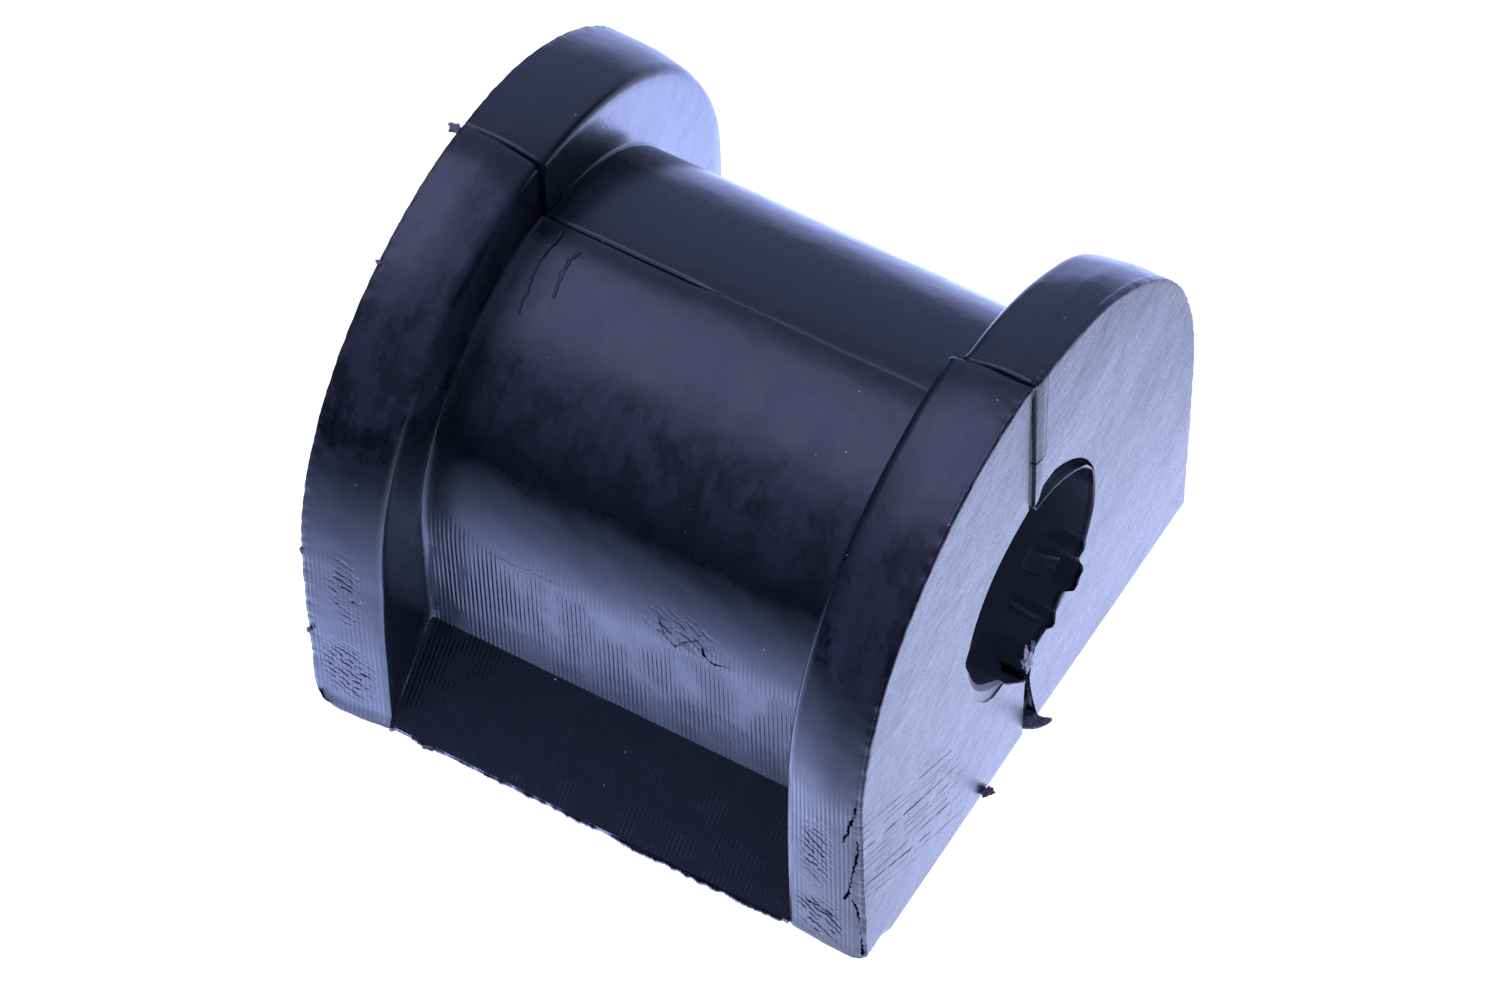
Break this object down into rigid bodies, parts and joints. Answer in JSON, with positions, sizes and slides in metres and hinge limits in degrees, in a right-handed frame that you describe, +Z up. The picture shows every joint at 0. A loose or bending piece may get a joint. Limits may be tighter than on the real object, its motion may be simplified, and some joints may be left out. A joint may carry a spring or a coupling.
{
  "type": "sway bar bushing",
  "caption": "One-piece moulded rubber bushing with D-shaped end flanges, a saddle seat for a bracket strap, a flared foot and a slit bore that grips a sway bar.",
  "frame": {"origin": "centre of the bar bore at mid length", "axes": "+X along the bore towards the flange with the chipped mouth, -Z out of the flat base, so +Z points up through the arch"},
  "size_m": [0.0603, 0.0623, 0.054],
  "materials": {
    "rubber": "worn satin moulded rubber with a faint bluish bloom"
  },
  "bodies": {
    "root": {"bushing": "rubber"}
  },
  "joints": []
}
